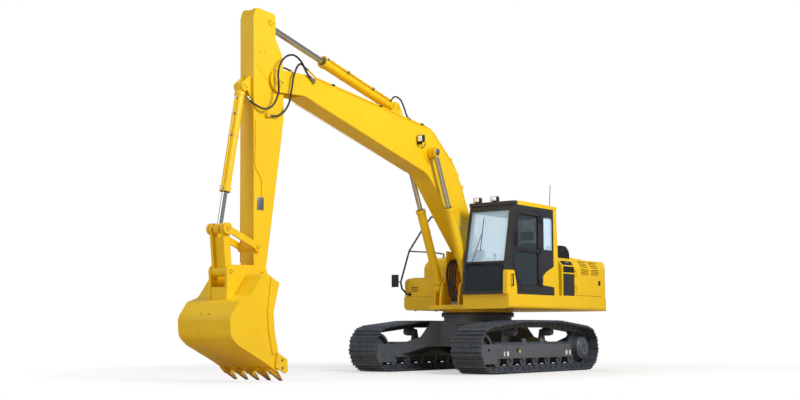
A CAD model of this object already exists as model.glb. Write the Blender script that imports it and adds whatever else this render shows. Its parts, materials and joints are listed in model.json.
# %% [markdown]
# # A crawler excavator, dressed
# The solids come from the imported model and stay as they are. This file gives every surface its
# finish and adds the small things that a solid model leaves out: bolts, lenses, clamps and seals.

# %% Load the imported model
import json
import math

import bmesh
import bpy
from mathutils import Matrix, Vector


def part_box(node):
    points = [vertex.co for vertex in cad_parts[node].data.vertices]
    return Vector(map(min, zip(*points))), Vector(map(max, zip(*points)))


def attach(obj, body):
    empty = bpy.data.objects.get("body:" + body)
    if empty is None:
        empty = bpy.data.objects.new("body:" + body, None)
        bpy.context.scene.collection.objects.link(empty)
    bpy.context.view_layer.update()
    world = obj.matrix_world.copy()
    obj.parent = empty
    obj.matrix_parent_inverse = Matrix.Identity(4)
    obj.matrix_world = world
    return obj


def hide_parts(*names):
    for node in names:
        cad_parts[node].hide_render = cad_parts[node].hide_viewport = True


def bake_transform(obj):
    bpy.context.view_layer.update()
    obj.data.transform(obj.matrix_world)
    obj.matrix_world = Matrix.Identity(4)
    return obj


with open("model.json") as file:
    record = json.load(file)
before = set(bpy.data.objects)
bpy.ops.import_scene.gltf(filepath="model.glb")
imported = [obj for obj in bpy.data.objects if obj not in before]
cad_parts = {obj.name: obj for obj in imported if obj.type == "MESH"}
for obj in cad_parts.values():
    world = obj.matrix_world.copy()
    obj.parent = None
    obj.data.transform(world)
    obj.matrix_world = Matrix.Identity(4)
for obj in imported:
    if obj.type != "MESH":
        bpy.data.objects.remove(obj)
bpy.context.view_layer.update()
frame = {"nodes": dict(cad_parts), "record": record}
nodes = frame["nodes"]

# %% [markdown]
# The camera stands low and to the front left, where the photograph was taken from. A long lens
# from far away keeps the verticals straight, as in the picture.

# %% Camera
eye = Vector((18.13, 12.07, 0.72))
aim = Vector((2.348, 0.0, 2.927))
camera = bpy.data.objects.new("camera", bpy.data.cameras.new("camera"))
camera.data.lens = 53.02
camera.data.sensor_width = 36.0
camera.data.clip_end = 200.0
camera.location = eye
camera.rotation_euler = (aim - eye).to_track_quat("-Z", "Y").to_euler()
bpy.context.collection.objects.link(camera)
bpy.context.scene.camera = camera
print("camera distance:", round((aim - eye).length, 2), "m")

# %% [markdown]
# Colours are written the way a paint card gives them, as sRGB hex, and one function turns them
# linear for the shader. Two more add a node and set or link its inputs, and the rest build on
# them: a colour ramp, a change of range, one sum, a mix, one coordinate.

# %% Helpers for materials


def linear(hex_colour):
    """An sRGB hex colour as linear red, green and blue with full alpha."""
    parts = [int(hex_colour[i:i + 2], 16) / 255 for i in (1, 3, 5)]
    return [c / 12.92 if c <= 0.04045 else ((c + 0.055) / 1.055) ** 2.4 for c in parts] + [1.0]


def feed(tree, node, **inputs):
    """Set a node's inputs, each to a value or to another node's output."""
    for name, value in inputs.items():
        key = int(name[1:]) if name[0] == "_" else name.replace("_", " ")
        if isinstance(value, bpy.types.NodeSocket):
            tree.links.new(value, node.inputs[key])
        else:
            node.inputs[key].default_value = value
    return node


def add(tree, kind, settings=None, **inputs):
    """Add one node with its settings and inputs."""
    node = tree.nodes.new(kind)
    for name, value in (settings or {}).items():
        setattr(node, name, value)
    return feed(tree, node, **inputs)


def blank(name):
    """A new material with its tree, its shader and an output of object coordinates."""
    made = bpy.data.materials.new(name)
    made.use_nodes = True
    tree = made.node_tree
    shader = tree.nodes["Principled BSDF"]
    where = add(tree, "ShaderNodeTexCoord").outputs["Object"]
    return made, tree, shader, where


def ramp(tree, fac, stops):
    """A colour ramp through (position, hex colour) stops."""
    node = add(tree, "ShaderNodeValToRGB", Fac=fac)
    band = node.color_ramp
    while len(band.elements) < len(stops):
        band.elements.new(0.5)
    for mark, (place, colour) in zip(band.elements, stops):
        mark.position = place
        mark.color = linear(colour)
    return node.outputs["Color"]


def remap(tree, value, low, high, start=0.0, end=1.0):
    """A value carried from one range to another and held inside it."""
    return add(tree, "ShaderNodeMapRange", _0=value, _1=low, _2=high, _3=start, _4=end).outputs[0]


def reckon(tree, operation, first, second):
    """The result of one arithmetic node."""
    return add(tree, "ShaderNodeMath", {"operation": operation}, _0=first, _1=second).outputs[0]


def mixed(tree, share, first, second):
    """Two colours mixed by a share, each one a hex colour or a node's output."""
    first, second = (linear(c) if isinstance(c, str) else c for c in (first, second))
    return add(tree, "ShaderNodeMix", {"data_type": "RGBA"}, _0=share, _6=first,
               _7=second).outputs[2]


def coordinate(tree, where, axis):
    """One coordinate of a place."""
    return add(tree, "ShaderNodeSeparateXYZ", Vector=where).outputs[axis]


# %% [markdown]
# The paint on a digger is a thick sprayed enamel: glossy under a little dust, with a faint
# orange peel and, low down, a dry film of earth. Large noise shifts the tone by a few percent,
# fine noise gives the peel, and the height over the ground brings the dust in.

# %% Sprayed enamel


def enamel(name, main, dusty, rough, dust_top=1.6, dust=0.5, coat=0.25):
    """Sprayed paint in two near tones, with a dry film of earth up to the height dust_top."""
    made, tree, shader, where = blank(name)
    cloud = add(tree, "ShaderNodeTexNoise", Vector=where, Scale=1.3, Detail=4.0).outputs["Fac"]
    tone = ramp(tree, cloud, [(0.3, main[0]), (0.7, main[1])])
    low = remap(tree, coordinate(tree, where, "Z"), 0.0, dust_top, 1.0, 0.0)
    grime = add(tree, "ShaderNodeTexNoise", Vector=where, Scale=6.0, Detail=8.0,
                Roughness=0.65).outputs["Fac"]
    film = reckon(tree, "MULTIPLY", remap(tree, grime, 0.42, 0.7), low)
    film = reckon(tree, "MULTIPLY", film, dust)
    peel = add(tree, "ShaderNodeTexNoise", Vector=where, Scale=160.0, Detail=2.0).outputs["Fac"]
    bump = add(tree, "ShaderNodeBump", Strength=0.04, Distance=0.002, Height=peel)
    feed(tree, shader, Base_Color=mixed(tree, film, tone, dusty), Normal=bump.outputs[0],
         Roughness=remap(tree, film, 0.0, 0.6, rough, 0.8), Coat_Weight=coat, Coat_Roughness=0.12)
    return made


yellow_enamel = enamel("yellow_enamel", ("#efc200", "#f6cb03"), "#b8964e", rough=0.4, dust=0.2,
                       coat=0.06)
charcoal_enamel = enamel("charcoal_enamel", ("#484f58", "#525a65"), "#7d766c", rough=0.45,
                         dust_top=1.1, dust=0.35, coat=0.1)
black_enamel = enamel("black_enamel", ("#1e2228", "#262a31"), "#46484c", rough=0.4, dust=0.12,
                      coat=0.1)
print("enamels:", yellow_enamel.name, charcoal_enamel.name, black_enamel.name)

# %% [markdown]
# Bare and plated metals: forged track steel with worn, brighter patches, ground and chromed
# cylinder rods, zinc-plated bolts and plain castings.

# %% Metals


def metal(name, main, rough, scale, metallic=1.0, bump_depth=0.0):
    """Metal in two tones by its grain, which also sets the roughness between two values."""
    made, tree, shader, where = blank(name)
    grain = add(tree, "ShaderNodeTexNoise", Vector=where, Scale=scale, Detail=6.0,
                Roughness=0.6).outputs["Fac"]
    feed(tree, shader, Base_Color=ramp(tree, grain, [(0.3, main[0]), (0.7, main[1])]),
         Metallic=metallic, Roughness=remap(tree, grain, 0.3, 0.7, *rough))
    if bump_depth:
        dent = add(tree, "ShaderNodeBump", Strength=0.5, Distance=bump_depth, Height=grain)
        feed(tree, shader, Normal=dent.outputs[0])
    return made


forged_track_steel = metal("forged_track_steel", ("#464e57", "#5f6671"), (0.42, 0.7), 9.0, 0.5,
                           0.002)
chromed_rod = metal("chromed_rod", ("#b4b7bb", "#cfd1d3"), (0.08, 0.16), 60.0)
grey_casting = metal("grey_casting", ("#3c3d3f", "#55565a"), (0.5, 0.75), 60.0, 0.5, 0.001)
zinc_steel = metal("zinc_steel", ("#8d9094", "#a9acaf"), (0.25, 0.45), 80.0)
print("metals made")

# %% [markdown]
# Rubber hose, moulded black plastic and the seat's woven cloth are all matt. What tells them
# apart is their grain: hose has a fine wrap, plastic a leather stipple, cloth a weave.

# %% Rubber, plastic and cloth


def matt(name, main, rough, scale, depth, kind="ShaderNodeTexNoise"):
    """A dull finish in two tones, with a grain of that scale and depth."""
    made, tree, shader, where = blank(name)
    grain = add(tree, kind, Vector=where, Scale=scale)
    value = grain.outputs["Fac"] if "Fac" in grain.outputs else grain.outputs[0]
    bump = add(tree, "ShaderNodeBump", Strength=0.4, Distance=depth, Height=value)
    feed(tree, shader, Base_Color=ramp(tree, value, [(0.3, main[0]), (0.75, main[1])]),
         Roughness=rough, Normal=bump.outputs[0])
    return made


hose_rubber = matt("hose_rubber", ("#161617", "#232324"), 0.5, 90.0, 0.001)
moulded_plastic = matt("moulded_plastic", ("#1b1c1e", "#29292b"), 0.55, 300.0, 0.0005)
seat_cloth = matt("seat_cloth", ("#26282c", "#3a3d42"), 0.9, 400.0, 0.0006, "ShaderNodeTexVoronoi")
print("matt finishes made")

# %% [markdown]
# Cab glass is a see-through gloss shader, which renders cleanly at this size. The door's panes
# are tinted. In the other panes the height counts: the low windscreen is tinted too, and the
# glass above it is clearer, with a weak glow that stands in for the sky's reflection.

# %% Glass
glass_tint, sky_tint, sky_glow = "#2f3c44", "#c4e0f6", "#cfe9ff"
clear_opacity, glow_strength = 0.36, 0.28


def glazing(name, opacity, clear_above=None):
    """Tinted glass; above a height, if one is given, it is clearer and glows a little."""
    made, tree, shader, where = blank(name)
    feed(tree, shader, Base_Color=linear(glass_tint), Roughness=0.02, IOR=1.4, Alpha=opacity)
    if clear_above:
        step = remap(tree, coordinate(tree, where, "Z"), clear_above - 0.01, clear_above)
        feed(tree, shader, Base_Color=mixed(tree, step, glass_tint, sky_tint),
             Alpha=remap(tree, step, 0.0, 1.0, opacity, clear_opacity),
             Emission_Color=linear(sky_glow),
             Emission_Strength=reckon(tree, "MULTIPLY", step, glow_strength))
    return made


window_glass = glazing("window_glass", 0.72, clear_above=1.9)
tinted_glass = glazing("tinted_glass", 0.72)
print("glass:", window_glass.name, tinted_glass.name)

# %% [markdown]
# The model's record names a material slot for each solid, and each slot has one finish. Only
# the door's panes leave their slot's finish for the tinted glass.

# %% Give every solid its finish
finish_of = {
    "yellow_paint": yellow_enamel, "charcoal_paint": charcoal_enamel, "black_paint": black_enamel,
    "track_steel": forged_track_steel, "bearing_steel": grey_casting, "engine_iron": grey_casting,
    "rod_chrome": chromed_rod, "hose_rubber": hose_rubber, "black_plastic": moulded_plastic,
    "seat_cloth": seat_cloth, "window_glass": window_glass}
slot_of = {s["node"]: s["material_slot"] for s in frame["record"]["subparts"]}
for name, solid in nodes.items():
    solid.data.materials.clear()
    solid.data.materials.append(finish_of[slot_of[name]])
nodes["door_glass"].data.materials[0] = tinted_glass
print("finished:", len(slot_of), "solids")

# %% [markdown]
# A cylinder's rod and its cast eye are one solid. The shader tells them apart by the distance
# from the eye's pin: yellow paint on the casting, bare steel on the pin, chrome on the rod.

# %% Rods with painted eyes


def rod_finish(name, eye, eye_radius, pin_radius):
    """Chrome, with paint out to eye_radius from the pin at eye and bare steel on the pin."""
    made, tree, shader, where = blank(name)
    part = add(tree, "ShaderNodeSeparateXYZ", Vector=where)
    flat = add(tree, "ShaderNodeCombineXYZ", X=part.outputs["X"], Z=part.outputs["Z"])
    gap = add(tree, "ShaderNodeVectorMath", {"operation": "DISTANCE"}, _0=flat.outputs[0],
              _1=(eye[0], 0.0, eye[1])).outputs["Value"]
    casting = reckon(tree, "LESS_THAN", gap, eye_radius + 0.001)
    painted = reckon(tree, "SUBTRACT", casting, reckon(tree, "LESS_THAN", gap, pin_radius))
    feed(tree, shader, Base_Color=mixed(tree, painted, "#c3c6ca", "#f5c023"),
         Metallic=remap(tree, painted, 0.0, 1.0, 1.0, 0.0),
         Roughness=remap(tree, painted, 0.0, 1.0, 0.12, 0.35))
    return made


# Where each cylinder's two eyes sit, as (x, z).
lift_foot, lift_top = (0.76, 1.48), (1.75, 3.79)
crowd_foot, crowd_top = (2.55, 4.484), (5.685, 5.283)
curl_foot, lever_top = (6.154, 4.249), (6.54, 2.15)
eye_finish = {
    "boom_rods": rod_finish("lift_rod_chrome", lift_top, 0.088, 0.06),
    "arm_rod": rod_finish("arm_rod_chrome", crowd_top, 0.095, 0.05),
    "bucket_rod": rod_finish("bucket_rod_chrome", lever_top, 0.072, 0.038)}
for name, finish in eye_finish.items():
    nodes[name].data.materials[0] = finish
print("rods with painted eyes:", len(eye_finish))

# %% [markdown]
# The cab's yellow corner carries a black grab handle in the same solid. It stands proud of the
# cab's side, so the shader paints whatever lies further out than the panel.

# %% Black handle on the yellow corner
cab_side = 1.351
corner_finish, tree, shader, where = blank("corner_enamel")
proud = reckon(tree, "GREATER_THAN", coordinate(tree, where, "Y"), cab_side)
feed(tree, shader, Base_Color=mixed(tree, proud, "#f2c602", "#1c1e22"), Roughness=0.42)
nodes["cab_corner"].data.materials[0] = corner_finish
print("corner handle painted")

# %% [markdown]
# Everything below is small hardware. Each helper adds one shape to a mesh under work, and
# `piece` closes that mesh: it merges doubles, turns the normals out, keeps edges crisp and
# hangs the piece on the body it rides with.


def aimed(place, axis):
    """A matrix that stands a shape's height along axis at place."""
    turn = Vector(axis).to_track_quat("Z", "Y").to_matrix().to_4x4()
    return Matrix.Translation(Vector(place)) @ turn


def rod(bm, start, end, radius, sides, tip=None):
    """A round bar from start to end, tapered if it has a tip radius."""
    start, end = Vector(start), Vector(end)
    bmesh.ops.create_cone(bm, cap_ends=True, segments=sides, radius1=radius,
                          radius2=radius if tip is None else tip, depth=(end - start).length,
                          matrix=aimed((start + end) / 2, end - start))


def slab(bm, low, high, edge=0.0):
    """A plate or box, its edges rounded by the radius edge if one is given."""
    low, high = Vector(low), Vector(high)
    spread = Matrix.Diagonal((*(high - low), 1.0))
    made = bmesh.ops.create_cube(bm, size=1.0,
                                 matrix=Matrix.Translation((low + high) / 2) @ spread)
    if edge:
        edges = list({e for v in made["verts"] for e in v.link_edges})
        bmesh.ops.bevel(bm, geom=edges, offset=edge, segments=2, profile=0.5,
                        affect="EDGES", material=-1)


def turned(bm, place, axis, outline, sides=24):
    """Spin an outline of (radius, height) points about an axis."""
    stand = aimed(place, axis)
    verts = [bm.verts.new(stand @ Vector((r, 0.0, h))) for r, h in outline]
    edges = [bm.edges.new(pair) for pair in zip(verts, verts[1:])]
    bmesh.ops.spin(bm, geom=verts + edges, cent=Vector(place), axis=Vector(axis).normalized(),
                   angle=math.tau, steps=sides, use_merge=True)


def bolt(bm, place, axis, size, washer=True):
    """A hexagon head on its washer; size is the thread."""
    place, axis = Vector(place), Vector(axis).normalized()
    if washer:
        rod(bm, place - axis * 0.001, place + axis * size * 0.18, size * 1.05, 14)
    rod(bm, place - axis * 0.001, place + axis * size * 0.8, size * 0.88, 6)


def ring_of(place, axis, radius, count, start=0.0):
    """Points spread evenly on a circle about an axis."""
    stand = aimed(place, axis)
    angles = [start + math.tau * i / count for i in range(count)]
    return [stand @ Vector((radius * math.cos(a), radius * math.sin(a), 0.0)) for a in angles]


def tube(bm, route, radius, soft=True, closed=False):
    """A pipe, hose or cord swept along a route, soft between its points or mitred at them."""
    line = bpy.data.curves.new("line", "CURVE")
    line.dimensions = "3D"
    line.bevel_depth = radius
    line.bevel_resolution = 2
    line.resolution_u = 6
    line.use_fill_caps = True
    path = line.splines.new("BEZIER" if soft else "POLY")
    path.use_cyclic_u = closed
    points = path.bezier_points if soft else path.points
    points.add(len(route) - 1)
    for point, place in zip(points, route):
        if soft:
            point.co = place
            point.handle_left_type = point.handle_right_type = "AUTO"
        else:
            point.co = (*place, 1.0)
    holder = bpy.data.objects.new("line", line)
    bm.from_mesh(holder.to_mesh())
    holder.to_mesh_clear()
    bpy.data.objects.remove(holder)
    bpy.data.curves.remove(line)


def piece(name, bm, body, finish, crease=35.0):
    """Close the mesh under work and hang it on its body, or leave it free with body None."""
    bmesh.ops.remove_doubles(bm, verts=bm.verts, dist=1e-5)
    bmesh.ops.recalc_face_normals(bm, faces=bm.faces)
    mesh = bpy.data.meshes.new(name)
    bm.to_mesh(mesh)
    bm.free()
    mesh.shade_smooth()
    mesh.set_sharp_from_angle(angle=math.radians(crease))
    mesh.materials.append(finish)
    made = bpy.data.objects.new(name, mesh)
    bpy.context.collection.objects.link(made)
    if body:
        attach(made, body)
    return made


both = (-1, 1)
print("helpers ready")

# %% [markdown]
# The chain runs flat over the carrier rollers, slopes down to the front wheel, wraps it and
# comes back along the ground. The same arcs give each pin's place, so bolts and pin bosses sit
# on their own link. Four bolts hold each shoe, and every pin ends in a raised boss.

# %% Track bolts and pins
gauge_half, shoe_count = 1.1, 45
rail_rise, plate, grouser = 0.048, 0.012, 0.026
bolt_step, rail_y, boss_y = 0.038, 0.075, 0.095
tip = rail_rise + plate + grouser
wheel_radius = 0.322
wheel_x, wheel_z = 1.622, wheel_radius + tip
wheel = Vector((wheel_x, wheel_z))
carrier = Vector((0.62, 0.91 - tip))
reach = carrier - wheel
meet = math.atan2(reach.y, reach.x) - math.acos(wheel_radius / reach.length)
tangent = wheel + wheel_radius * Vector((math.cos(meet), math.sin(meet)))
slope = (tangent - carrier).length
wrap = wheel_radius * (meet + math.pi / 2)
loop = 2 * (carrier.x + slope + wrap + wheel.x)


def loop_point(s):
    """A pin's (x, z) at the distance s along the chain, forward from the middle of its top."""
    if s > loop / 2:
        point = loop_point(loop - s)
        return Vector((-point.x, point.y))
    if s < carrier.x:
        return Vector((s, carrier.y))
    if s < carrier.x + slope:
        return carrier.lerp(tangent, (s - carrier.x) / slope)
    if s < carrier.x + slope + wrap:
        angle = meet - (s - carrier.x - slope) / wheel_radius
        return wheel + wheel_radius * Vector((math.cos(angle), math.sin(angle)))
    return Vector((wheel.x - (s - carrier.x - slope - wrap), tip))


pins = [loop_point((i + 0.5) * loop / shoe_count) for i in range(shoe_count)]
shoe_bolts, pin_bosses, pin_ends = bmesh.new(), bmesh.new(), bmesh.new()
for here, after in zip(pins, pins[1:] + pins[:1]):
    along = (after - here).normalized()
    out = Vector((-along.y, along.x))
    for s in both:
        for rail in both:
            for step in (-bolt_step, bolt_step):
                spot = (here + after) / 2 + along * step + out * (rail_rise + plate)
                bolt(shoe_bolts, (spot.x, s * gauge_half + rail * rail_y, spot.y),
                     (out.x, 0.0, out.y), 0.016, washer=False)
            side = s * gauge_half + rail * boss_y
            rod(pin_bosses, (here.x, side - rail * 0.004, here.y),
                (here.x, side + rail * 0.005, here.y), 0.034, 18)
            rod(pin_ends, (here.x, side, here.y), (here.x, side + rail * 0.008, here.y),
                0.018, 12, 0.015)
piece("shoe_bolts", shoe_bolts, "undercarriage", forged_track_steel)
piece("pin_bosses", pin_bosses, "undercarriage", grey_casting)
piece("pin_ends", pin_ends, "undercarriage", grey_casting)
print("pins on each track:", len(pins), "pitch:", round(loop / shoe_count, 4))

# %% [markdown]
# The track frame carries its own hardware: a cap with a plug at each roller's shaft, bolts on
# the guard plates, the tensioner's greasing hole with its cap, and four white paint marks.

# %% Track frame hardware
caps, frame_bolts = bmesh.new(), bmesh.new()
face_y, roller_z, roller_count, roller_span = 1.24, 0.2113, 7, 2.5
# Rings of bolts on the drive: y, radius, count, size and whether they have washers.
drive_rings = ((1.282, 0.176, 16, 0.01, True), (1.142, 0.2145, 20, 0.008, False),
               (1.32, 0.1, 6, 0.012, True))
for s in both:
    face = s * face_y
    for i in range(roller_count):
        x = (i / (roller_count - 1) - 0.5) * roller_span
        turned(caps, (x, face, roller_z), (0, s, 0),
               [(0.0, 0.012), (0.012, 0.012), (0.014, 0.006), (0.028, 0.006), (0.031, -0.001)])
        for step in (-0.06, 0.06):
            bolt(frame_bolts, (x + step, face, 0.272), (0, s, 0), 0.012)
    for x in (1.15, 1.24):
        for z in (0.31, 0.4):
            bolt(frame_bolts, (x, s * 1.26, z), (0, s, 0), 0.014)
    for x in (-0.62, 0.62):
        turned(caps, (x, s * 1.197, 0.709), (0, s, 0),
               [(0.0, 0.02), (0.014, 0.02), (0.018, 0.01), (0.042, 0.01), (0.046, -0.001)])
    for y, radius, count, size, washer in drive_rings:
        for spot in ring_of((-wheel_x, s * y, wheel_z), (0, s, 0), radius, count):
            bolt(frame_bolts, spot, (0, s, 0), size, washer)
    for x, z in ((-wheel_x, 0.353), (-1.577, 0.445)):
        turned(caps, (x, s * 1.32, z), (0, s, 0),
               [(0.0, 0.008), (0.008, 0.008), (0.01, 0.014), (0.02, 0.014), (0.024, -0.001)], 16)
piece("roller_caps", caps, "undercarriage", grey_casting)
piece("frame_bolts", frame_bolts, "undercarriage", zinc_steel)

marks, holes, valve = bmesh.new(), bmesh.new(), bmesh.new()
for s in both:
    for x in (1.068, 0.942, -1.067, -1.198):
        slab(marks, (x - 0.03, s * (face_y + 0.0005) - 0.001, 0.292),
             (x + 0.03, s * (face_y + 0.0005) + 0.001, 0.37))
    turned(holes, (0.634, s * (face_y - 0.0005), 0.39), (0, s, 0),
           [(0.0, 0.0015), (0.032, 0.0015), (0.034, 0.004), (0.042, 0.004), (0.044, 0.0)])
    turned(valve, (0.558, s * face_y, 0.366), (0, s, 0),
           [(0.0, 0.01), (0.014, 0.01), (0.027, 0.004), (0.029, -0.001)], 20)
white_paint = enamel("white_paint", ("#e9e8e2", "#f4f3ee"), "#b9b0a0", rough=0.45)
green_cap = matt("green_plastic_cap", ("#b7c43a", "#c6d24a"), 0.45, 60.0, 0.0003)
piece("frame_marks", marks, "undercarriage", white_paint)
piece("tensioner_hole", holes, "undercarriage", black_enamel)
piece("tensioner_cap", valve, "undercarriage", green_cap)
print("track frame hardware done")

# %% [markdown]
# Pins of the boom, arm and bucket end in keeper plates: a thick washer and two small bolts,
# and on the boom cylinders' upper pin a bright turned cap.

# %% Pin keepers
keepers = {
    "boom": [(5.54, 4.42, 0.192, 0.078), (*crowd_foot, 0.0933, 0.062)],
    "arm": [(*crowd_top, 0.145, 0.056), (*curl_foot, 0.0823, 0.056),
            (5.934, 1.921, 0.188, 0.038)],
    "link": [(*lever_top, 0.1883, 0.038)],
    "bucket": [(5.86, 1.55, 0.1933, 0.038), (6.47, 1.555, 0.1933, 0.038)],
    "upper": [(0.34, 1.94, 0.2263, 0.075), (*lift_foot, 0.374, 0.045)]}
for body, places in keepers.items():
    plates, plate_bolts = bmesh.new(), bmesh.new()
    for x, z, y, radius in places:
        for s in both:
            turned(plates, (x, s * y, z), (0, s, 0),
                   [(0.0, 0.007), (radius * 0.9, 0.007), (radius, 0.002), (radius, -0.001)])
            turned(plate_bolts, (x, s * (y + 0.007), z), (0, s, 0),
                   [(0.0, 0.012), (0.004, 0.012), (0.006, 0.0), (0.006, -0.001)], 12)
            for step in both:
                bolt(plate_bolts, (x + step * radius * 0.55, s * (y + 0.007),
                                   z + step * radius * 0.3), (0, s, 0), radius * 0.15)
    piece(f"{body}_keepers", plates, body, yellow_enamel)
    piece(f"{body}_keeper_bolts", plate_bolts, body, grey_casting)
bright = bmesh.new()
for s in both:
    turned(bright, (lift_top[0], s * 0.36, lift_top[1]), (0, s, 0),
           [(0.0, 0.012), (0.045, 0.012), (0.053, 0.008), (0.056, 0.0), (0.056, -0.001)])
    for spot in ring_of((lift_top[0], s * 0.372, lift_top[1]), (0, s, 0), 0.03, 3):
        bolt(bright, spot, (0, s, 0), 0.008)
piece("lift_pin_caps", bright, "boom_rods", zinc_steel)
print("keepers on:", ", ".join(keepers))

# %% [markdown]
# Each cylinder has a bolted gland with a black wiper lip round the rod, and a steel pipe that
# brings oil along the barrel to the gland, held by two clamps.

# %% Cylinder fittings


def cylinder_fittings(meshes, foot, top, y, barrel, rod_radius, length, side, clamps):
    """Gland bolts, wiper, pipe and clamps on one barrel; side is the pipe's direction."""
    gland_bolts, wipers, pipes, ports, straps = meshes
    foot, top = Vector((foot[0], y, foot[1])), Vector((top[0], y, top[1]))
    axis = (top - foot).normalized()
    side = Vector(side)
    side = (side - axis * side.dot(axis)).normalized()
    across = axis.cross(side)
    end = foot + axis * length
    for spot in ring_of(end, axis, (rod_radius + barrel + 0.01) / 2, 10, 0.2):
        bolt(gland_bolts, spot, axis, (barrel - rod_radius) * 0.2, washer=False)
    turned(wipers, end, axis, [(rod_radius + 0.001, 0.004), (rod_radius + 0.002, 0.012),
                               (rod_radius + 0.01, 0.008), (rod_radius + 0.011, -0.001)])
    lift = barrel + 0.028
    base = foot + axis * 0.2
    port = end - axis * 0.035
    tube(pipes, [base + side * (barrel - 0.01), base + side * lift + axis * 0.03,
                 base + side * lift + axis * 0.12, port + side * lift - axis * 0.12,
                 port + side * lift - axis * 0.03, port + side * (barrel + 0.002)], 0.011)
    for place in (base, port):
        rod(ports, place + side * (barrel - 0.01), place + side * (barrel + 0.022), 0.022, 14)
        rod(ports, place + side * (barrel + 0.01), place + side * (barrel + 0.03), 0.017, 6)
    for share in clamps:
        middle = base.lerp(port, share)
        turned(straps, middle, axis, [(barrel - 0.001, -0.02), (barrel + 0.004, -0.02),
                                      (barrel + 0.004, 0.02), (barrel - 0.001, 0.02)], 32)
        rod(ports, middle + side * (barrel - 0.001) - across * 0.024,
            middle + side * (lift + 0.018) - across * 0.024, 0.006, 8)
        rod(ports, middle + side * (barrel - 0.001), middle + side * (lift + 0.016), 0.019, 10)


def on_cylinder(body, sides, *facts, clamps=(0.3, 0.7)):
    """Fit out one body's barrels; sides gives each one's y and its pipe's direction."""
    meshes = [bmesh.new() for _ in range(5)]
    foot, top, barrel, rod_radius, length = facts
    for y, side in sides:
        cylinder_fittings(meshes, foot, top, y, barrel, rod_radius, length, side, clamps)
    kinds = (("gland_bolts", zinc_steel), ("wiper", moulded_plastic), ("pipe", yellow_enamel),
             ("ports", zinc_steel), ("straps", yellow_enamel))
    for mesh, (kind, finish) in zip(meshes, kinds):
        piece(f"{body}_{kind}", mesh, body, finish)


on_cylinder("boom_barrels", [(s * 0.305, (-0.75, s * 0.3, 0.6)) for s in both],
            lift_foot, lift_top, 0.078, 0.043, 1.5)
on_cylinder("arm_barrel", [(0.0, (0.0, 1.0, 0.35))], crowd_foot, crowd_top, 0.088, 0.048, 1.88)
on_cylinder("bucket_barrel", [(0.0, (1.0, 0.25, 0.0))], curl_foot, lever_top, 0.07, 0.04, 1.59,
            clamps=(0.17, 0.41))
print("cylinder fittings done")

# %% [markdown]
# The boom and the arm are welded boxes, so a fine bead runs along each long seam. The arm's
# side also shows two plugs at its top, a short slanting weld, a grease pipe that runs down to
# the lower pins, and a blank grey plate.

# %% Weld beads, plugs and grease pipes
beads = {"boom": bmesh.new(), "arm": bmesh.new()}
boom_half, arm_half = 0.18, 0.135
seams = {
    "boom": [[(1.85, 4.208), (3.4, 4.4), (4.9, 4.592)], [(1.95, 3.465), (3.4, 3.85), (4.8, 4.224)],
             [(0.93, 3.52), (0.6, 2.9), (0.37, 2.46)], [(1.6, 3.31), (1.0, 2.7), (0.74, 2.386)]],
    "arm": [[(5.403, 3.8), (5.56, 2.75), (5.722, 1.7)], [(6.04, 5.2), (6.01, 3.4), (5.982, 1.7)],
            [(5.989, 4.611), (5.733, 4.387)]]}
for body, half in (("boom", boom_half), ("arm", arm_half)):
    for seam in seams[body]:
        for s in both:
            tube(beads[body], [(x, s * half, z) for x, z in seam], 0.0045)
    piece(f"{body}_weld_beads", beads[body], body, yellow_enamel)
plugs, grease, nipples = bmesh.new(), bmesh.new(), bmesh.new()
for x, z in ((5.888, 4.81), (5.783, 4.815)):
    turned(plugs, (x, arm_half, z), (0, 1, 0),
           [(0.0, 0.01), (0.014, 0.01), (0.018, 0.006), (0.03, 0.006), (0.034, -0.001)])
tube(grease, [(5.983, 0.14, 3.768), (5.979, 0.142, 3.4), (5.972, 0.142, 3.079),
              (5.9, 0.142, 2.98), (5.845, 0.142, 2.9), (5.84, 0.142, 2.78), (5.839, 0.142, 2.68)],
     0.005)
for x, z in ((5.983, 3.77), (5.98, 3.43), (5.972, 3.1), (5.846, 2.9), (5.839, 2.69)):
    slab(nipples, (x - 0.012, 0.134, z - 0.008), (x + 0.012, 0.149, z + 0.008), 0.002)
for x, z in ((5.93, 1.62), (5.8, 1.62), (5.93, 1.86), (5.54, 4.57), (5.43, 4.36)):
    rod(nipples, (x, 0.13, z), (x, 0.152, z), 0.006, 10, 0.004)
label = bmesh.new()
slab(label, (5.79, 0.1345, 2.46), (5.93, 0.1375, 2.65), 0.001)
piece("blank_plate", label, "arm", zinc_steel)
piece("arm_plugs", plugs, "arm", yellow_enamel)
piece("grease_pipe", grease, "arm", yellow_enamel)
piece("grease_clips", nipples, "arm", yellow_enamel)
print("beads on", ", ".join(beads))

# %% [markdown]
# Two clamps hold the pipes at each of the boom's three saddles. From the pipes a short loop of
# hose climbs to the arm cylinder on each side. A thin pipe runs down the boom's back in two
# clips, and the work light gets its lens and its wire.

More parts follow.
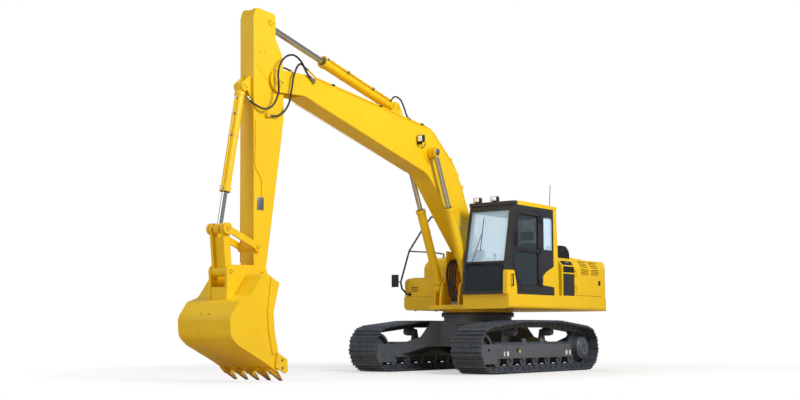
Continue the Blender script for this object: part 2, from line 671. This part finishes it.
# %% Pipe clamps, hose loops and work light
pipe_y, saddle_z = 0.158, 0.0095
back_x, back_z, back_slope = 1.7, 4.205, 0.407 / 3.25
clamps, clamp_bolts = bmesh.new(), bmesh.new()
for x in (1.95, 3.1, 4.3):
    z = back_z + (x - back_x) * back_slope + saddle_z
    for s in both:
        slab(clamps, (x - 0.032, s * pipe_y - 0.03, z), (x + 0.032, s * pipe_y + 0.03, z + 0.034),
             0.006)
        for step in (-0.018, 0.018):
            bolt(clamp_bolts, (x + step, s * pipe_y, z + 0.034), (0, 0, 1), 0.009)
piece("pipe_clamps", clamps, "boom", moulded_plastic)
piece("pipe_clamp_bolts", clamp_bolts, "boom", zinc_steel)
loops, loop_ends = bmesh.new(), bmesh.new()
for s in both:
    tube(loops, [(2.3, s * pipe_y, 4.308), (2.36, s * 0.155, 4.36), (2.44, s * 0.15, 4.5),
                 (2.54, s * 0.14, 4.62), (2.66, s * 0.12, 4.64), (2.72, s * 0.1, 4.58)], 0.014)
    rod(loop_ends, (2.26, s * pipe_y, 4.302), (2.33, s * pipe_y, 4.325), 0.02, 12)
tie = piece("arm_cylinder_hoses", loops, None, hose_rubber)
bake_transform(tie)
piece("loop_ends", loop_ends, "boom", zinc_steel)



def plain(name, colour, **settings):
    """A finish of one colour; each setting is an input of its shader."""
    made, tree, shader, _ = blank(name)
    feed(tree, shader, Base_Color=linear(colour), **settings)
    return made


lamp_lens = plain("lamp_lens", "#f2f4f4", Roughness=0.08, Coat_Weight=0.6,
                  Emission_Color=linear("#ffffff"), Emission_Strength=0.15)
lens, wire = bmesh.new(), bmesh.new()
slab(lens, (2.118, 0.212, 3.94), (2.126, 0.298, 4.038), 0.003)
tube(wire, [(2.06, 0.25, 3.93), (2.0, 0.215, 3.86), (1.93, 0.187, 3.86), (1.86, 0.187, 3.95)],
     0.006)
back_pipe, back_clips = bmesh.new(), bmesh.new()
tube(back_pipe, [(1.33, 0.1, 3.97), (1.25, 0.12, 3.93), (0.98, 0.14, 3.66), (0.76, 0.14, 3.37),
                 (0.55, 0.13, 2.98), (0.42, 0.13, 2.72)], 0.009)
for x, z in ((1.06, 3.755), (0.72, 3.29)):
    slab(back_clips, (x - 0.035, 0.115, z - 0.03), (x + 0.02, 0.165, z + 0.03), 0.004)
piece("boom_back_pipe", back_pipe, "boom", moulded_plastic)
piece("boom_back_clips", back_clips, "boom", yellow_enamel)
piece("work_light_lens", lens, "boom", lamp_lens)
piece("work_light_wire", wire, "boom", hose_rubber)
print("pipe clamps, loops and work light done")

# %% [markdown]
# Hoses cross two joints of the machine, four at the boom's foot and two pairs between boom and
# arm. Each bundle is one piece that bends between its two bodies. At both ends a pressed steel
# collar rides with the body it is screwed to.

# %% Hoses over the joints
foot_hoses, deck_collars, foot_collars = bmesh.new(), bmesh.new(), bmesh.new()
out = Vector((0.9662, 0.0, -0.2577))
foot_hose_count = 4
for i in range(foot_hose_count):
    y, low_y = -0.15 + 0.06 * i, 0.014 + 0.044 * i
    start = Vector((0.5267, y, 2.0))
    tube(foot_hoses, [start + out * 0.02, start + out * 0.06, (0.69, y, 1.92),
                      (0.77, y + 0.01, 1.76), (0.81, y * 0.8 + 0.03, 1.56),
                      (0.825, (y + low_y) / 2 + 0.02, 1.38), (0.83, low_y, 1.24),
                      (0.83, low_y, 1.2)], 0.018)
    rod(foot_collars, start - out * 0.002, start + out * 0.05, 0.0215, 14)
    rod(foot_collars, start - out * 0.002, start + out * 0.018, 0.026, 6)
    rod(deck_collars, (0.83, low_y, 1.18), (0.83, low_y, 1.235), 0.0205, 14)
    rod(deck_collars, (0.83, low_y, 1.18), (0.83, low_y, 1.198), 0.0215, 6)
bundle = piece("foot_hose_bundle", foot_hoses, None, hose_rubber, 50.0)
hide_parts("boom_foot_hoses")
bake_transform(bundle)
piece("foot_hose_collars", foot_collars, "boom", zinc_steel)
piece("deck_hose_collars", deck_collars, "upper", zinc_steel)

hose_radius = 0.0155
reach_hoses, high_collars, low_collars = bmesh.new(), bmesh.new(), bmesh.new()
for s in both:
    tube(reach_hoses, [(4.905, s * pipe_y, 4.707), (4.95, s * pipe_y, 4.725),
                       (5.13, s * 0.215, 4.74), (5.27, s * 0.235, 4.56), (5.33, s * 0.235, 4.3),
                       (5.4, s * 0.225, 4.05), (5.54, s * 0.19, 3.9), (5.67, s * 0.165, 3.87),
                       (5.732, s * 0.165, 3.87)], hose_radius)
    rod(high_collars, (4.885, s * pipe_y, 4.699), (4.95, s * pipe_y, 4.725), 0.019, 14)
    rod(low_collars, (5.735, s * 0.165, 3.87), (5.68, s * 0.165, 3.87), 0.019, 14)
    rod(low_collars, (5.735, s * 0.165, 3.87), (5.716, s * 0.165, 3.87), 0.024, 6)
for s in both:
    tube(reach_hoses, [(4.87, s * 0.208, 4.575), (4.95, s * 0.212, 4.62), (5.16, s * 0.24, 4.8),
                       (5.38, s * 0.25, 4.83), (5.61, s * 0.25, 4.62), (5.65, s * 0.25, 4.15),
                       (5.83, s * 0.22, 3.95), (6.03, s * 0.16, 3.99), (6.1, s * 0.1, 4.07)],
         hose_radius)
    rod(high_collars, (4.8, s * 0.202, 4.54), (4.88, s * 0.209, 4.58), 0.019, 14)
    slab(high_collars, (4.77, min(s * 0.179, s * 0.218), 4.5),
         (4.82, max(s * 0.179, s * 0.218), 4.575), 0.006)
    rod(low_collars, (6.12, s * 0.09, 4.1), (6.08, s * 0.115, 4.045), 0.02, 14)
over = piece("arm_hose_pair", reach_hoses, None, hose_rubber, 50.0)
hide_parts("arm_hoses")
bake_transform(over)
piece("high_hose_collars", high_collars, "boom", zinc_steel)
piece("low_hose_collars", low_collars, "arm", zinc_steel)
print("hose bundles bend over their joints")

# %% [markdown]
# Windows sit in black rubber. The seal follows each opening's outline on the outer face, on the
# leaning windscreen too, where x falls back with height.

# %% Window seals


def lean(z):
    """The windscreen's x at a height; it is upright up to 1.7 m and leans back above."""
    return 1.115 - max(0.0, z - 1.7) * 0.2125


def softened(outline, radius):
    """An outline of 3-D points with its corners rounded."""
    route, steps = [], 4
    for i, place in enumerate(outline):
        place = Vector(place)
        before, after = Vector(outline[i - 1]), Vector(outline[(i + 1) % len(outline)])
        first = place + (before - place).normalized() * radius
        last = place + (after - place).normalized() * radius
        for k in range(steps + 1):
            t = k / steps
            route.append((1 - t) ** 2 * first + 2 * t * (1 - t) * place + t * t * last)
    return route


body_seals, door_seals = bmesh.new(), bmesh.new()
y = cab_side
for outline, mesh, radius in (
        ([(-0.436, y, 2.15), (-0.095, y, 2.15), (-0.095, y, 2.745), (-0.436, y, 2.745)],
         body_seals, 0.04),
        ([(0.08, y, 1.51), (0.72, y, 1.51), (0.9, y, 1.85), (0.854, y, 2.102),
          (0.08, y, 2.102)], door_seals, 0.04),
        ([(0.08, y, 2.138), (0.847, y, 2.138), (0.717, y, 2.752), (0.08, y, 2.752)],
         door_seals, 0.03),
        ([(-0.641, 0.54, 1.96), (-0.641, 1.25, 1.96), (-0.641, 1.25, 2.78),
          (-0.641, 0.54, 2.78)], body_seals, 0.04)):
    tube(mesh, softened(outline, radius), 0.008, soft=False, closed=True)
for low, high in ((1.4, 1.874), (1.906, 2.805)):
    tube(body_seals, softened([(lean(z) + 0.001, w, z) for w, z in (
        (0.482, low), (1.265, low), (1.265, high), (0.482, high))], 0.03), 0.008, soft=False,
        closed=True)
piece("window_seals", body_seals, "upper", hose_rubber)
piece("door_seals", door_seals, "door", hose_rubber)

wiper, lenses, latch, mirror = (bmesh.new() for _ in range(4))
tube(wiper, [(lean(1.89) + 0.02, 0.62, 1.9), (lean(2.1) + 0.035, 0.68, 2.1),
             (lean(2.4) + 0.03, 0.76, 2.4)], 0.006)
rod(wiper, (lean(2.1) + 0.016, 0.76, 2.1), (lean(2.7) + 0.016, 0.76, 2.7), 0.007, 8)
rod(wiper, (lean(1.89) - 0.002, 0.62, 1.89), (lean(1.89) + 0.03, 0.62, 1.896), 0.02, 16)
for w in (0.57, 0.93):
    slab(lenses, (0.873, w - 0.055, 2.984), (0.882, w + 0.055, 3.05), 0.004)
slab(latch, (0.6, 1.349, 1.44), (0.69, 1.356, 1.49), 0.003)
slab(latch, (0.612, 1.354, 1.452), (0.676, 1.364, 1.476), 0.004)
slab(mirror, (0.686, -1.432, 1.54), (0.6905, -1.308, 1.75), 0.002)
piece("wiper", wiper, "upper", moulded_plastic)
piece("cab_lamp_lenses", lenses, "upper", lamp_lens)
piece("door_latch", latch, "door", moulded_plastic)
silvering = plain("mirror_silvering", "#d8dcde", Metallic=1.0, Roughness=0.03)
piece("mirror_glass", mirror, "upper", silvering)
print("cab seals, wiper, lamps and mirror done")

# %% [markdown]
# The operator's seat is foam under woven cloth. Each cushion is a crowned closed form: its
# middle swells, its sides pull in between the corners, and two shallow grooves run along it.
# The base under it is a hard bellows box.

# %% Operator's seat


def cushion(centre, size, crown, lean_back):
    """A crowned pad of that size; lean_back tilts it about the y axis in degrees."""
    bm = bmesh.new()
    bmesh.ops.create_cube(bm, size=2.0)
    bmesh.ops.subdivide_edges(bm, edges=bm.edges, cuts=11, use_grid_fill=True)
    tilt = Matrix.Rotation(math.radians(lean_back), 3, "Y")
    for v in bm.verts:
        a, b, c = v.co
        pinch_x = 1.0 - 0.05 * (1.0 - b * b) - 0.06 * c * c
        pinch_y = 1.0 - 0.05 * (1.0 - a * a) - 0.06 * c * c
        round_off = 1.0 - 0.16 * max(0.0, abs(a) + abs(b) - 1.2)
        swell = 1.0 + crown * (1.0 - a * a) * (1.0 - b * b)
        groove = 1.0 - 0.07 * math.exp(-((abs(b) - 0.55) / 0.05) ** 2)
        v.co = Vector(centre) + tilt @ Vector((a * pinch_x * round_off * size[0] / 2,
                                               b * pinch_y * round_off * size[1] / 2,
                                               c * swell * groove * size[2] / 2))
    return bm


seat_y = 0.89
base, rails = bmesh.new(), bmesh.new()
for i in range(5):
    slab(base, (-0.2, seat_y - 0.17, 1.43 + i * 0.038), (0.17, seat_y + 0.17, 1.464 + i * 0.038),
         0.014)
slab(base, (-0.23, seat_y - 0.19, 1.391), (0.2, seat_y + 0.19, 1.432), 0.008)
slab(base, (-0.23, seat_y - 0.2, 1.618), (0.22, seat_y + 0.2, 1.64), 0.006)
for name, *facts in (("seat_cushion", (0.02, seat_y, 1.7), (0.5, 0.49, 0.11), 0.35, -4.0),
                     ("seat_back", (-0.245, seat_y, 2.05), (0.56, 0.46, 0.1), 0.3, -103.0),
                     ("seat_headrest", (-0.32, seat_y, 2.44), (0.17, 0.26, 0.085), 0.3, -100.0)):
    pad = piece(name, cushion(*facts), "upper", seat_cloth, 60.0)
for s in both:
    rod(rails, (-0.305, seat_y + s * 0.06, 2.26), (-0.33, seat_y + s * 0.06, 2.42), 0.007, 10)
    slab(rails, (-0.26, seat_y + s * 0.27 - 0.03, 1.86), (0.1, seat_y + s * 0.27 + 0.03, 1.9),
         0.012)
    rod(rails, (-0.24, seat_y + s * 0.25, 1.88), (-0.24, seat_y + s * 0.2, 1.9), 0.014, 12)
seat_base = piece("seat_base", base, "upper", moulded_plastic)
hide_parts("seat")
piece("seat_rails", rails, "upper", moulded_plastic)
screen = bmesh.new()
slab(screen, (0.86, 0.53, 2.0), (0.885, 0.7, 2.13), 0.006)
rod(screen, (0.88, 0.6, 1.9), (0.875, 0.6, 2.01), 0.01, 10)
piece("cab_monitor", screen, "upper", moulded_plastic)
print("seat done")

# %% [markdown]
# The air intake's dome is covered with woven wire. Wires run on both diagonals, each cut where
# it meets the dome's outline.

# %% Woven wire on the intake


def in_dome(x, z):
    """Inside the dome's side outline, with its two rounded upper corners."""
    left, right, low, high = -1.228, -0.787, 2.056, 2.279
    rear_bend, front_bend = 0.15, 0.06
    if not (left < x < right and low < z < high):
        return False
    if x < left + rear_bend and z > high - rear_bend:
        return math.hypot(x - left - rear_bend, z - high + rear_bend) < rear_bend
    if x > right - front_bend and z > high - front_bend:
        return math.hypot(x - right + front_bend, z - high + front_bend) < front_bend
    return True


net = bmesh.new()
net_y, wire_gap, stride = 1.2395, 0.022, 0.01
for s in both:
    for k in range(-12, 34):
        start = -1.24 + k * wire_gap
        run = [(start + s * t * stride, 2.05 + t * stride) for t in range(60)]
        kept = [p for p in run if in_dome(*p)]
        if len(kept) > 1:
            rod(net, (kept[0][0], net_y, kept[0][1]), (kept[-1][0], net_y, kept[-1][1]),
                0.0016, 5)
piece("intake_net", net, "upper", black_enamel)
print("wire net done")

# %% [markdown]
# Small fittings close the upper body: latches on the engine doors, handles on the hood, caps
# and a gauge on the tanks, a grip plate on the tool box, feet and bolts for the handrail. Black
# strips lie in the tool box's vents and behind the louvres of the left door.

# %% Fittings of the upper body
door_y, door_out = 1.3545, 1.362
latches, handles, filler, gauge, grip, feet, feet_bolts = (bmesh.new() for _ in range(7))
slab(latches, (-2.2, door_y, 1.58), (-2.13, door_out, 1.67), 0.003)
slab(latches, (-2.188, 1.36, 1.595), (-2.142, 1.372, 1.64), 0.004)
piece("left_door_latch", latches, "louvred_door", moulded_plastic)
latches = bmesh.new()
slab(latches, (-2.2, -door_out, 1.58), (-2.13, -door_y, 1.67), 0.003)
slab(latches, (-2.188, -1.372, 1.595), (-2.142, -1.36, 1.64), 0.004)
piece("right_door_latch", latches, "pump_door", moulded_plastic)
low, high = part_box("engine_hood")
for y in (-0.35, 0.45):
    x = high.x - 0.12
    tube(handles, [(x, y - 0.08, high.z - 0.003), (x, y - 0.08, high.z + 0.04),
                   (x, y + 0.08, high.z + 0.04), (x, y + 0.08, high.z - 0.003)], 0.008,
         soft=False)
piece("hood_handles", handles, "hood", black_enamel)
for x in (-0.5, -0.99):
    turned(filler, (x, -0.8, 2.145), (0, 0, 1),
           [(0.0, 0.034), (0.03, 0.034), (0.052, 0.03), (0.062, 0.02), (0.062, 0.0),
            (0.058, -0.001)])
    slab(filler, (x - 0.05, -0.808, 2.17), (x + 0.05, -0.792, 2.195), 0.006)
piece("filler_caps", filler, "upper", moulded_plastic)
slab(gauge, (-1.02, -1.346, 1.7), (-0.98, -1.3385, 1.86), 0.004)
for z in (1.712, 1.848):
    bolt(gauge, (-1.0, -1.345, z), (0, -1, 0), 0.01)
piece("level_gauge", gauge, "upper", zinc_steel)
slab(grip, (-0.06, -1.19, 1.7055), (0.36, -0.62, 1.7085), 0.001)
for i in range(10):
    for j in range(13):
        x, y = -0.04 + 0.042 * i, -1.17 + 0.044 * j
        rod(grip, (x, y, 1.708), (x, y, 1.7125), 0.009, 8, 0.006)
piece("grip_plate", grip, "box_lid", black_enamel)
for place, axis in (((0.442, -1.23, 1.4), (1, 0, 0)), ((-1.14, -1.04, 2.12), (0, 0, 1)),
                    ((-0.4, -1.04, 2.12), (0, 0, 1))):
    turned(feet, place, axis, [(0.014, 0.007), (0.036, 0.007), (0.038, 0.004),
                               (0.038, -0.001)], 20)
    for spot in ring_of(Vector(place) + Vector(axis) * 0.007, axis, 0.027, 3, 0.5):
        bolt(feet_bolts, spot, axis, 0.006)
piece("rail_feet", feet, "upper", black_enamel)
for x, y in ((0.529, 1.2), (-0.362, 1.2), (0.85, 1.2), (-0.9, 1.2), (0.3, -1.2), (-0.362, -1.2),
             (-0.9, -1.2)):
    bolt(feet_bolts, (x, y, 1.1), (0, 0, -1), 0.018)
piece("rail_and_deck_bolts", feet_bolts, "upper", zinc_steel)
vents = bmesh.new()
for i in range(3):
    slab(vents, (0.425, -1.189, 1.451 + 0.034 * i), (0.4395, -1.031, 1.465 + 0.034 * i))
piece("tool_box_vents", vents, "upper", moulded_plastic)
screens = bmesh.new()
bay_step, row_step, louvre_step = 0.4, 0.135, 0.03
skin_y, shoulder_z, shoulder_slope = 1.345, 1.87, 0.67
for bay in range(2):
    for row in range(2):
        for k in range(4):
            z = 1.771 + row_step * row + louvre_step * k
            back = skin_y - max(0.0, z + 0.012 - shoulder_z) * shoulder_slope
            slab(screens, (-1.759 - bay_step * bay, back - 0.012, z),
                 (-1.451 - bay_step * bay, back - 0.004, z + 0.011))
piece("louvre_screens", screens, "louvred_door", moulded_plastic)
print("upper body fittings done")

# %% [markdown]
# On the bucket each tooth is held by a cross pin and the side cutters by two bolts each. Weld
# seams follow the rolled back, read off the side plate's own outline, and the teeth's paint is
# worn to brown at their tips.

# %% Bucket fittings
tooth_count, tooth_span = 5, 0.9
tooth_pins, cutter_bolts = bmesh.new(), bmesh.new()
for i in range(tooth_count):
    y = (i / (tooth_count - 1) - 0.5) * tooth_span
    for s in both:
        rod(tooth_pins, (5.905, y + s * 0.044, 0.182), (5.905, y + s * 0.048, 0.182), 0.011, 14)
for s in both:
    for x, z in ((5.8, 0.31), (5.79, 0.2)):
        bolt(cutter_bolts, (x, s * 0.544, z), (0, s, 0), 0.018)
back_plugs, back_seams = bmesh.new(), bmesh.new()
for y in (-0.098, 0.072):
    rod(back_plugs, (6.771, y, 0.95), (6.779, y, 0.956), 0.013, 14)
shell = {(round(v.co.x, 4), round(v.co.z, 4)) for v in nodes["bucket"].data.vertices
         if abs(v.co.y - 0.52) < 1e-4 and v.co.x > 6.1 and v.co.z < 0.96}
shell = sorted(shell, key=lambda p: math.atan2(p[1] - 0.9, p[0] - 6.3))
for y in (-0.098, 0.26):
    tube(back_seams, [(x, y, z) for x, z in shell], 0.0035, soft=False)
rod(back_seams, (6.13, -0.5, 0.284), (6.13, 0.5, 0.284), 0.005, 8)
piece("bucket_back_plugs", back_plugs, "bucket", zinc_steel)
piece("bucket_back_seams", back_seams, "bucket", yellow_enamel)
piece("tooth_pins", tooth_pins, "bucket", zinc_steel)
piece("cutter_bolts", cutter_bolts, "bucket", zinc_steel)
worn_enamel, tree, shader, where = blank("worn_tooth_enamel")
patch = add(tree, "ShaderNodeTexNoise", Vector=where, Scale=30.0, Detail=4.0).outputs["Fac"]
patch = remap(tree, patch, 0.0, 1.0, -0.04, 0.04)
height = reckon(tree, "ADD", coordinate(tree, where, "Z"), patch)
worn = remap(tree, height, 0.03, 0.17, 1.0, 0.0)
feed(tree, shader, Base_Color=mixed(tree, worn, "#efb80c", "#7a5a34"), Roughness=0.5)
nodes["bucket_teeth"].data.materials[0] = worn_enamel
print("bucket fittings done, shell line of", len(shell), "points")

# %% [markdown]
# The studio is a plain pale floor under soft lamps. The floor and the world look white to the
# camera. For all other light the floor is a warm, duller tone and the world is dim, so they
# brighten the paint less, most of all under the boom.

# %% Floor, world and lamps
bm = bmesh.new()
bmesh.ops.create_grid(bm, x_segments=1, y_segments=1, size=60.0)
mesh = bpy.data.meshes.new("floor")
bm.to_mesh(mesh)
bm.free()
floor = bpy.data.objects.new("floor", mesh)
bpy.context.collection.objects.link(floor)
pale, tree, shader, where = blank("pale_floor")
far = add(tree, "ShaderNodeVectorMath", {"operation": "LENGTH"}, _0=where).outputs["Value"]
direct = add(tree, "ShaderNodeLightPath").outputs["Is Camera Ray"]
feed(tree, shader, Base_Color=mixed(tree, direct, "#c8b698", "#f3f3f2"), Roughness=0.9)
fade = reckon(tree, "MULTIPLY", remap(tree, far, 3.5, 8.0, 0.45, 1.0), direct)
white = add(tree, "ShaderNodeEmission", Color=(1.0, 1.0, 1.0, 1.0), Strength=1.0)
blended = add(tree, "ShaderNodeMixShader", _0=fade, _1=shader.outputs[0], _2=white.outputs[0])
feed(tree, tree.nodes["Material Output"], Surface=blended.outputs[0])
floor.data.materials.append(pale)

world = bpy.data.worlds.new("studio")
bpy.context.scene.world = world
world.use_nodes = True
tree = world.node_tree
ray = add(tree, "ShaderNodeLightPath")
seen = reckon(tree, "MAXIMUM", ray.outputs["Is Camera Ray"], ray.outputs["Is Transmission Ray"])
feed(tree, tree.nodes["Background"], Color=(1.0, 1.0, 1.0, 1.0),
     Strength=remap(tree, seen, 0.0, 1.0, 0.34, 1.0))


def lamp(name, place, target, size, power):
    """A square soft light of that size at place, turned to its target."""
    light = bpy.data.objects.new(name, bpy.data.lights.new(name, "AREA"))
    light.data.size = size
    light.data.energy = power
    light.location = place
    light.rotation_euler = (Vector(target) - Vector(place)).to_track_quat("-Z", "Y").to_euler()
    bpy.context.collection.objects.link(light)


lamp("key", (4.0, 13.0, 11.0), (2.0, 0.0, 2.0), 6.0, 2150.0)
lamp("fill", (17.0, -4.0, 7.0), (2.0, 0.0, 2.0), 8.0, 500.0)
lamp("rim", (-9.0, -6.0, 9.0), (0.0, 0.0, 2.0), 5.0, 600.0)
scene = bpy.context.scene
scene.view_settings.view_transform = "Standard"
print("studio ready")
